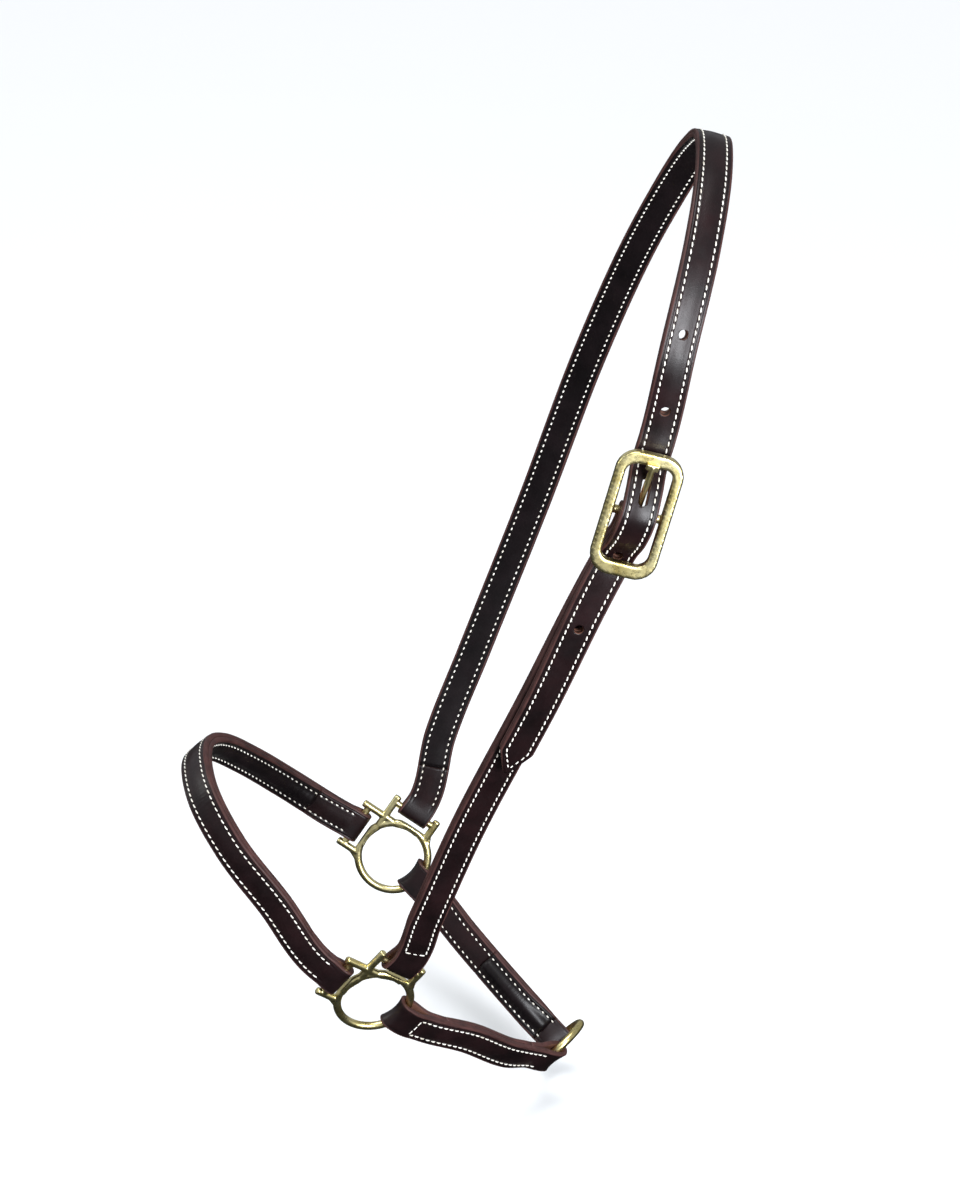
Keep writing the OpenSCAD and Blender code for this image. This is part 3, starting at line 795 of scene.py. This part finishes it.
def outer_ply(name, route_, gap, thick, ends, taper=0):
    """Turned-back end, fold and outer face, then the other fold and end too, as one length of leather."""
    offset, closed = fold_gap(route_, gap, ends)
    every = range(len(route_.points))
    back = [i for i in reversed(every) if route_.start[i] <= ends[0].turn_back]
    rows = stations_of(route_, -offset, closed, back, ends)
    rows += arc_stations(route_, 0, ends[0], 1, ends)[::-1]
    rows += stations_of(route_, offset, closed, every, ends, taper)
    skive = (SKIVE, 0)
    if ends[1]:
        back = [i for i in reversed(every) if route_.end[i] <= ends[1].turn_back]
        rows += arc_stations(route_, -1, ends[1], -1, ends)
        rows += stations_of(route_, -offset, closed, back, ends)
        skive = (SKIVE, SKIVE)
    return swept(name, renumbered(rows), thick, gap, FACE_RIDGE, [FACE, EDGE, CORE], skive)


def lining_ply(name, route_, gap, thick, ends, raised, taper=0):
    """The lining, butted against the turned-back ends."""
    offset, closed = fold_gap(route_, gap, ends)
    near_side, far_side = [end.turn_back if end else -1 for end in ends]
    count = len(route_.points)
    keep = [i for i in range(count) if route_.start[i] > near_side and route_.end[i] > far_side]
    rows = stations_of(route_, -offset, closed, keep[::-1], ends, taper)
    for row, i, before in ((-1, keep[0], keep[0] - 1), (0, keep[-1], keep[-1] + 1)):
        if 0 <= before < count:
            step = route_.points[before] - route_.points[i]
            rows[row] = (rows[row][0] + step * (1 - BUTT_GAP / FINE), *rows[row][1:])
    skive = (SKIVE, 0 if taper else SKIVE)
    return swept(name, renumbered(rows), thick, gap, raised, [LINING, EDGE, CORE], skive)


def filler(name, route_, thick, ends, taper=0):
    """A lens-shaped core that pushes the two plies apart."""
    half, lens, inside, ring = 4.6, 0.45, 2, 16
    start = ends[0].seam + inside
    stop = ends[1].seam + inside if ends[1] else taper
    keep = [i for i in range(len(route_.points)) if route_.start[i] >= start and route_.end[i] >= stop]
    vertices, strap = [], []
    for i in keep:
        for k in range(ring):
            a = 2 * math.pi * k / ring
            w, o = half * math.cos(a), lens * thick * math.sin(a)
            vertices.append(route_.points[i] + w * route_.sideways[i] + o * route_.outward[i])
            strap.append((route_.start[i], w, 0))
    faces = [
        (i * ring + (k + 1) % ring, i * ring + k, (i + 1) * ring + k, (i + 1) * ring + (k + 1) % ring)
        for i in range(len(keep) - 1)
        for k in range(ring)
    ]
    last = (len(keep) - 1) * ring
    faces += [tuple(range(ring)), tuple(range(last + ring - 1, last - 1, -1))]
    return make_object(name, vertices, faces, [CORE], None, strap)


STITCH_W, STITCH_RISE, STITCH_SINK = 0.82, 0.20, 0.10
STITCH_HALF_T = 0.36
STITCH_DIVE = 1.9  # how far a stitch's ends drop from its crest, as a share of its rise
STITCH_SLANT = 0.13
FACE_STITCH, LINING_STITCH = 2.9, 1.9
BAR_STEP, BAR_STITCH = 0.66, 0.64  # step and length of a bar's stitches, as a share of its reach
BAR_BEFORE = 0.6  # how far before the rows the bar lies


def one_stitch(middle, along, across, out, length):
    """A plump stitch whose two ends dive into the leather."""
    sides, steps, blunt = 6, 6, 0.1
    rings = []
    for j in range(steps + 1):
        t = 2 * j / steps - 1
        plump = math.sqrt(max(0.0, 1 - t**4)) * (1 - blunt) + blunt
        spine = middle + t * length / 2 * along + STITCH_RISE * (1 - STITCH_DIVE * t * t) * out
        for k in range(sides):
            a = 2 * math.pi * k / sides
            around = STITCH_W / 2 * math.cos(a) * across + STITCH_HALF_T * math.sin(a) * out
            rings.append(spine + plump * around)
    faces = []
    for j in range(steps):
        for k in range(sides):
            m = (k + 1) % sides
            faces.append((j * sides + m, j * sides + k, (j + 1) * sides + k, (j + 1) * sides + m))
    faces += [tuple(range(sides)), tuple(range(steps * sides + sides - 1, steps * sides - 1, -1))]
    return rings, faces


class Stitches:
    """Collects the stitches of one strap into one piece."""

    def __init__(self):
        self.vertices, self.faces = [], []

    def put(self, middle, along, across, out, length):
        rings, faces = one_stitch(middle, along, across, out, length)
        base = len(self.vertices)
        self.vertices += rings
        self.faces += [tuple(base + v for v in face) for face in faces]

    def row(self, route_, ends, lift, which, way, start, stop, taper):
        """One row on one face; which is +1 for the outer face and -1 for the lining."""
        half = half_widths(route_, taper)
        line = route_.points + (which * lift)[:, None] * route_.outward
        aside = np.maximum(half - STITCH_INSET, 0)[:, None]
        middle, bow = ring_curve(route_, ends)
        line = line + way * aside * route_.sideways + middle + aside**2 * bow
        steps = np.linalg.norm(np.diff(line, axis=0), axis=1)
        run = np.concatenate([[0], np.cumsum(steps)])
        first = np.interp(start, route_.start, run)
        last = np.interp(route_.start[-1] - stop, route_.start, run)
        count = int((last - first) / STITCH_PITCH)
        slant = STITCH_SLANT * which
        length = FACE_STITCH if which > 0 else LINING_STITCH
        for j in range(count):
            s = first + (j + 0.5) * (last - first) / count
            place = np.array([np.interp(s, run, line[:, axis]) for axis in range(3)])
            ahead = np.array([np.interp(s + 1, run, line[:, axis]) for axis in range(3)])
            along = unit(ahead - place)
            i = int(np.abs(run - s).argmin())
            out = square_to(which * route_.outward[i], along)
            across = np.cross(out, along)
            turned = unit(along + slant * across)
            self.put(place, turned, np.cross(out, turned), out, length)

    def bar(self, route_, ends, lift):
        """A short row straight across the outer face, where the stitching turns."""
        i = route_.at(ends[0].seam - BAR_BEFORE)
        reach = HALF_W - STITCH_INSET
        shift, bow = ring_curve(route_, ends)
        out, across = route_.outward[i], route_.sideways[i]
        for j in (-1, 0, 1):
            aside = j * reach * BAR_STEP
            middle = route_.points[i] + shift[i] + lift[i] * out + aside * across + aside**2 * bow[i]
            self.put(middle, across, np.cross(out, across), out, reach * BAR_STITCH)

    def piece(self, name):
        return make_object(name, self.vertices, self.faces, [THREAD])


def stitching(name, route_, gap, thick, ends, taper=0, barred=False):
    """Both rows on both faces, and a bar across where the stitching turns."""
    offset, _ = fold_gap(route_, gap, ends)
    lift = offset + thick / 2 - STITCH_SINK
    stop = ends[1].seam if ends[1] else TIP_SEAM
    sewn = Stitches()
    for which in (1, -1):
        for way in (-1, 1):
            sewn.row(route_, ends, lift, which, way, ends[0].seam, stop, taper)
    if barred:
        sewn.bar(route_, ends, lift)
    return sewn.piece(name)


def declare(piece, body, node):
    """Says which body the piece rides on, and hides the CAD node that it stands for."""
    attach(piece, body)
    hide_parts(node)


def strap(name, body, route_, ends, ridge, crown=False, barred=False):
    """A whole strap: outer ply, lining, filler and stitching, each standing for its CAD node."""
    thick, fill = (CROWN_PLY_T, CROWN_FILLER_T) if crown else (PLY_T, FILLER_T)
    gap = (thick + fill) / 2
    taper = TIP_TAPER if crown else 0
    outer = outer_ply(name + "_outer_ply", route_, gap, thick, ends, taper)
    lining = lining_ply(name + "_lining_ply", route_, gap, thick, ends, ridge, taper)
    core = filler(name + "_core", route_, fill, ends, taper)
    thread = stitching(name + "_stitching", route_, gap, thick, ends, taper, barred)
    declare(outer, body, name + "_outer")
    declare(lining, body, name + "_lining")
    declare(core, body, name + "_filler")
    declare(thread, body, name + "_thread")
    return outer, lining, core


# ---- holes ----
def hole_cutter(name, places):
    """Cylinders and rounded slots: each place is (middle, axis, along, length, width)."""
    vertices, faces = [], []
    sides, depth = 40, 9
    for middle, axis, along, length, width in places:
        axis = unit(axis)
        along = square_to(along, axis)
        across = np.cross(along, axis)
        base = len(vertices)
        for level in (-depth, depth):
            for k in range(sides):
                a = 2 * math.pi * (k + 0.5) / sides
                stretch = math.copysign((length - width) / 2, math.sin(a))
                flat = width / 2 * math.cos(a) * across + (width / 2 * math.sin(a) + stretch) * along
                vertices.append(middle + level * axis + flat)
        faces.append(tuple(base + k for k in reversed(range(sides))))
        faces.append(tuple(base + sides + k for k in range(sides)))
        for k in range(sides):
            m = (k + 1) % sides
            faces.append((base + k, base + m, base + sides + m, base + sides + k))
    return make_object(name, vertices, faces, [CORE])


def cut(pieces, cutter):
    """Takes the cutter out of each piece for good."""
    for piece in pieces:
        if CORE.name not in [m.name for m in piece.data.materials]:
            piece.data.materials.append(CORE)
        modifier = piece.modifiers.new("holes", "BOOLEAN")
        modifier.object = cutter
        modifier.operation = "DIFFERENCE"
        modifier.solver = "EXACT"
        modifier.material_mode = "TRANSFER"
        graph = bpy.context.evaluated_depsgraph_get()
        mesh = bpy.data.meshes.new_from_object(piece.evaluated_get(graph), depsgraph=graph)
        piece.modifiers.clear()
        piece.data = mesh
    bpy.data.objects.remove(cutter)


HOLE_STRETCH = 0.3  # a punched hole is this much longer than it is wide


def crown_holes(route_):
    """Two punched holes on each side of the one in use, which the tongue draws out along the strap."""
    in_use = np.linalg.norm(route_.points - buckle_point(HOLE_IN_USE, 0), axis=1).argmin()
    places = []
    for k in (-2, -1, 1, 2):
        pitch = HOLE_PITCH + TAIL_SLACK if k > 0 else HOLE_PITCH
        i = route_.at(route_.start[in_use] + k * pitch)
        places.append((route_.points[i], route_.outward[i], route_.forward[i], HOLE_D + HOLE_STRETCH, HOLE_D))
    drawn = np.linalg.norm(route_.points - buckle_point(TONGUE_SLOT_AT, 1), axis=1).argmin()
    places.append((route_.points[drawn], route_.outward[drawn], route_.forward[drawn], *TONGUE_SLOT))
    return places


# ---- the headcollar ----
BAR_CURVE = SLOT_BAR_R + FIT + PLY_T / 2
BUCKLE_CURVE = BAR_R + FIT + PLY_T / 2
CROWN_CURVE = SLOT_BAR_R + FIT + CROWN_PLY_T / 2
NEAR_WRAP_ROOM, FAR_WRAP_ROOM, CHIN_RING_ROOM = 1.1, 2.1, 0.4
NEAR_WRAP_CURVE = WIRE_R + NEAR_WRAP_ROOM + PLY_T / 2
FAR_WRAP_CURVE = WIRE_R + FAR_WRAP_ROOM + PLY_T / 2
CHIN_CURVE = CHIN_WIRE_R + CHIN_RING_ROOM + PLY_T / 2

NEAR_NOSE = End(BAR_CURVE, held_open=0, closing=9, turn_back=34, seam=9)
FAR_NOSE = End(BAR_CURVE, held_open=0, closing=9, turn_back=34, seam=6)
CHEEK = End(BAR_CURVE, held_open=1, closing=18, turn_back=34, seam=17)
BUCKLE = End(BUCKLE_CURVE, held_open=1, closing=20, turn_back=34, seam=18)
CROWN = End(CROWN_CURVE, held_open=0, closing=12, turn_back=34, seam=10)
NEAR_WRAP = End(
    NEAR_WRAP_CURVE, held_open=3, closing=16, turn_back=30, seam=12, ring=RING_R, inset=RING_INSET
)
FAR_WRAP = End(
    FAR_WRAP_CURVE, held_open=5, closing=16, turn_back=68, seam=12, ring=RING_R, inset=RING_INSET
)
NEAR_CHIN_END = End(
    CHIN_CURVE, held_open=2, closing=14, turn_back=24, seam=9, ring=CHIN_R, inset=CHIN_INSET
)
FAR_CHIN_END = End(
    CHIN_CURVE, held_open=2, closing=14, turn_back=12, seam=9, ring=CHIN_R, inset=CHIN_INSET
)

cheek = cheekpiece_route()
crown = crown_route(cheek)

strap("noseband", "root", noseband_route(), (NEAR_NOSE, FAR_NOSE), ridge=1.3)
cheek_pieces = strap("cheekpiece", "root", cheek, (CHEEK, BUCKLE), ridge=0.8, barred=True)
crown_pieces = strap("crown", "root", crown, (CROWN, None), ridge=0.35, crown=True)
strap("near_chin", "chin_straps", near_chin_route(), (NEAR_WRAP, NEAR_CHIN_END), ridge=1.5, barred=True)
strap("far_chin", "chin_straps", far_chin_route(), (FAR_WRAP, FAR_CHIN_END), ridge=1.7)

cut(crown_pieces, hole_cutter("hole_cutter", crown_holes(crown)))
eye_slot = [(buckle_point(0, BAR_OUT), buckle_out, buckle_up, *EYE_SLOT)]
cut(cheek_pieces[:1], hole_cutter("eye_cutter", eye_slot))


# ---- brass ----
def dress_brass(node, voxel, swelling, rounds):
    """Rounds a casting's corners and blends its joins, without touching its CAD mesh.

    The swelling makes up for what the smoothing takes off the wire.
    """
    piece = frame["nodes"][node]
    piece.data.materials.clear()
    piece.data.materials.append(BRASS)
    remesh = piece.modifiers.new("cast", "REMESH")
    remesh.mode = "VOXEL"
    remesh.voxel_size = voxel * MM
    remesh.use_smooth_shade = True
    swell = piece.modifiers.new("swell", "DISPLACE")
    swell.strength = swelling * MM
    swell.mid_level = 0
    soften = piece.modifiers.new("soften", "SMOOTH")
    soften.factor = 0.5
    soften.iterations = rounds


for ring in ("near_cheek_ring", "far_cheek_ring"):
    dress_brass(ring, voxel=0.42, swelling=0.28, rounds=8)
dress_brass("chin_ring", voxel=0.42, swelling=0.2, rounds=4)
dress_brass("buckle_frame", voxel=0.42, swelling=0.35, rounds=18)
dress_brass("buckle_tongue", voxel=0.30, swelling=0.15, rounds=6)


# ---- stage ----
def floor():
    """A plain pale floor just under the lowest strap, left out of reflections to keep the leather dark."""
    reach, drop = 60.0, 12 * MM
    bpy.ops.mesh.primitive_plane_add(size=2 * reach, location=(0, 0, cad_low.z - drop))
    made = bpy.context.object
    made.name = "floor"
    made.visible_glossy = False
    material, _, shader = new_material("pale_floor")
    shader.inputs["Base Color"].default_value = (0.91, 0.915, 0.925, 1)
    shader.inputs["Roughness"].default_value = 0.9
    shader.inputs["Specular IOR Level"].default_value = 0
    made.data.materials.append(material)


def aimed(name, data, towards):
    """A light or camera that looks back along a direction."""
    made = bpy.data.objects.new(name, data)
    made.rotation_mode = "QUATERNION"
    made.rotation_quaternion = Vector(towards).to_track_quat("Z", "Y")
    bpy.context.scene.collection.objects.link(made)
    return made


def overhead_sun(direction, power, spread_degrees):
    """Broad light from above, which throws the soft shadow on the floor."""
    light = bpy.data.lights.new("overhead", "SUN")
    light.energy = power
    light.angle = math.radians(spread_degrees)
    aimed("overhead", light, direction)


def soft_light(name, aim, direction, distance, width, height, power, colour):
    """An upright soft box, at a distance from the point that it is aimed at."""
    light = bpy.data.lights.new(name, "AREA")
    light.shape = "RECTANGLE"
    light.size = width
    light.size_y = height
    light.energy = power
    light.color = colour
    towards = Vector(direction).normalized()
    made = aimed(name, light, towards)
    made.location = Vector((aim + MIDWAY) * MM) + towards * distance
    made.visible_camera = False


def world():
    """Pale studio walls round the horizon, dimmer above and dark below the floor."""
    made = bpy.data.worlds.new("studio")
    made.use_nodes = True
    tree = made.node_tree
    place = tree.nodes.new("ShaderNodeTexCoord").outputs["Generated"]
    split = tree.nodes.new("ShaderNodeSeparateXYZ")
    tree.links.new(place, split.inputs[0])
    height = spread(tree, split.outputs["Z"], low=0, high=1)
    height.node.inputs["From Min"].default_value = -1
    below, walls, above = (0.03, 0.033, 0.033), (0.55, 0.57, 0.60), (0.34, 0.36, 0.38)
    stops = [(0.480, below), (0.495, walls), (0.600, walls), (0.700, above)]
    tree.links.new(ramp(tree, height, stops), tree.nodes["Background"].inputs["Color"])
    bpy.context.scene.world = made


def camera():
    """Looks slightly down at the near side, from a little behind the cheek."""
    azimuth, elevation, distance = math.radians(3), math.radians(29), 2200
    looked_at = np.array([51.5, 95.3, 166.8])
    back = Vector(
        (
            math.sin(azimuth) * math.cos(elevation),
            -math.cos(azimuth) * math.cos(elevation),
            math.sin(elevation),
        )
    )
    aim = Vector((looked_at + MIDWAY) * MM)
    data = bpy.data.cameras.new("camera")
    data.sensor_width = 36
    data.lens = 112.8
    made = aimed("camera", data, back)
    made.location = aim + back * distance * MM
    bpy.context.scene.camera = made


floor()
world()
overhead_sun((-0.12, -0.10, 1), power=2.0, spread_degrees=36)
soft_light(
    "window",
    aim=np.array([155, -110, 400]),
    direction=(0.48, -0.84, 0.12),
    distance=0.95,
    width=0.26,
    height=0.76,
    power=18,
    colour=(0.93, 0.96, 1.0),
)
soft_light(
    "nose_light",
    aim=np.array([-100, 0, 120]),
    direction=(-0.9, 0.15, 0.65),
    distance=1.4,
    width=0.5,
    height=0.5,
    power=4,
    colour=(0.93, 1.0, 0.97),
)
camera()
bpy.context.scene.view_settings.view_transform = "Standard"
